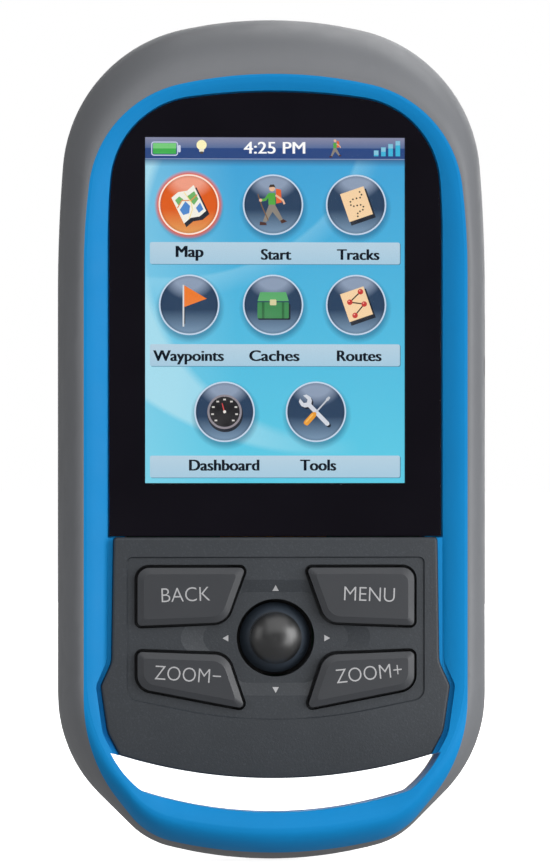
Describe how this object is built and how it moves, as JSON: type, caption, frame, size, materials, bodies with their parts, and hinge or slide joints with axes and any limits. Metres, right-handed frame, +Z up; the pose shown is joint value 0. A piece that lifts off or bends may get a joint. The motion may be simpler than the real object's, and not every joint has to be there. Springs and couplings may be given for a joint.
{
  "type": "handheld gps unit",
  "caption": "Rugged handheld satellite navigator with a tall colour display, four keys round a small joystick, a carrying loop and a screw-latched battery door.",
  "frame": {"origin": "middle of the carrying loop's lowest point, half way across and half way through the device", "axes": "+Z up the device towards the antenna, -Y out of the display towards the user, +X the device's right as the user sees it"},
  "size_m": [0.0566, 0.0356, 0.1111],
  "materials": {
    "case_grey": "fine texture, soft-touch grey",
    "frame_blue": "satin moulded blue",
    "faceplate": "fine speckled texture, charcoal",
    "keys": "satin charcoal with light legends",
    "joystick": "satin dark dome with a glossier skirt",
    "window": "clear hard-coated window",
    "mask_black": "black printed border",
    "gasket": "soft black seal",
    "display": "lit colour display",
    "white_plastic": "white light-guide plastic",
    "ribbon": "amber flexible circuit",
    "membrane": "silicone sheet",
    "switch_metal": "nickel plated",
    "board": "green solder mask",
    "chip": "black moulded packages",
    "tin": "tin plated sheet",
    "ceramic": "ceramic patch",
    "black_plastic": "black glass-filled plastic",
    "cell": "plain cell with a coloured sleeve",
    "spring_steel": "nickel plated spring steel",
    "brass": "turned brass",
    "screw_steel": "dark stainless steel",
    "rubber_grey": "moulded rubber",
    "power_rubber": "moulded rubber key",
    "pin_steel": "polished steel pin"
  },
  "bodies": {
    "case": {"rear_housing": "case_grey", "front_frame": "frame_blue", "keypad_faceplate": "faceplate", "display_window": "window", "window_mask": "mask_black", "window_gasket": "gasket", "lcd_panel": "display", "lcd_backlight_frame": "white_plastic", "lcd_light_guide": "white_plastic", "lcd_foam_pad": "gasket", "lcd_ribbon": "ribbon", "keypad_membrane": "membrane", "key_switches": "switch_metal", "joystick_socket": "black_plastic", "main_board": "board", "board_chips": "chip", "rf_shield": "tin", "beeper": "black_plastic", "backup_cell": "switch_metal", "usb_socket": "tin", "gps_antenna": "ceramic", "antenna_carrier": "black_plastic", "battery_bay": "black_plastic", "battery_cell_left": "cell", "battery_cell_right": "cell", "contact_springs": "spring_steel", "contact_plates": "spring_steel", "latch_insert": "brass", "case_seal": "gasket", "case_screws": "screw_steel", "power_switch": "switch_metal"},
    "door": {"battery_door": "case_grey", "door_seal": "gasket"},
    "latch": {"latch_screw": "screw_steel", "latch_pin": "pin_steel"},
    "ring": {"latch_ring": "screw_steel"},
    "stick_gimbal": {"joystick_gimbal": "black_plastic"},
    "stick_stem": {"joystick_stem": "pin_steel"},
    "stick_cap": {"joystick_cap": "joystick"},
    "power_key": {"power_button": "power_rubber"},
    "usb_flap": {"usb_cover": "rubber_grey"},
    "key_back_cap": {"key_back": "keys"},
    "key_menu_cap": {"key_menu": "keys"},
    "key_zoom_out_cap": {"key_zoom_out": "keys"},
    "key_zoom_in_cap": {"key_zoom_in": "keys"}
  },
  "joints": [
    {"name": "door_lift", "type": "slide", "parent": "case", "child": "door", "axis": [0, 1, 0], "range_m": [0, 0.03]},
    {"name": "latch_turn", "type": "hinge", "parent": "door", "child": "latch", "pos_m": [0, 0.0165, 0.092], "axis": [0, 1, 0], "continuous": true},
    {"name": "ring_fold", "type": "hinge", "parent": "latch", "child": "ring", "pos_m": [0, 0.017, 0.092], "axis": [1, 0, 0], "range_deg": [0, 90]},
    {"name": "stick_tip_vertical", "type": "hinge", "parent": "case", "child": "stick_gimbal", "pos_m": [0, -0.0102, 0.02955], "axis": [1, 0, 0], "range_deg": [-8, 8], "stiffness_Nm_per_rad": 0.05},
    {"name": "stick_tip_sideways", "type": "hinge", "parent": "stick_gimbal", "child": "stick_stem", "pos_m": [0, -0.0102, 0.02955], "axis": [0, 0, 1], "range_deg": [-8, 8], "stiffness_Nm_per_rad": 0.05},
    {"name": "stick_press", "type": "slide", "parent": "stick_stem", "child": "stick_cap", "axis": [0, 1, 0], "range_m": [0, 0.0004], "stiffness_N_per_m": 2000, "springref_m": -0.0002},
    {"name": "power_press", "type": "slide", "parent": "case", "child": "power_key", "axis": [-0.4226, 0, -0.9063], "range_m": [0, 0.0005], "stiffness_N_per_m": 1500, "springref_m": -0.0003},
    {"name": "usb_flap_swing", "type": "hinge", "parent": "case", "child": "usb_flap", "pos_m": [0.0282, -0.00275, 0.065], "axis": [0, 0, 1], "range_deg": [0, 110]},
    {"name": "key_back_press", "type": "slide", "parent": "case", "child": "key_back_cap", "axis": [0, 1, 0], "range_m": [0, 0.00045], "stiffness_N_per_m": 1500, "springref_m": -0.0002},
    {"name": "key_menu_press", "type": "slide", "parent": "case", "child": "key_menu_cap", "axis": [0, 1, 0], "range_m": [0, 0.00045], "stiffness_N_per_m": 1500, "springref_m": -0.0002},
    {"name": "key_zoom_out_press", "type": "slide", "parent": "case", "child": "key_zoom_out_cap", "axis": [0, 1, 0], "range_m": [0, 0.00045], "stiffness_N_per_m": 1500, "springref_m": -0.0002},
    {"name": "key_zoom_in_press", "type": "slide", "parent": "case", "child": "key_zoom_in_cap", "axis": [0, 1, 0], "range_m": [0, 0.00045], "stiffness_N_per_m": 1500, "springref_m": -0.0002}
  ]
}
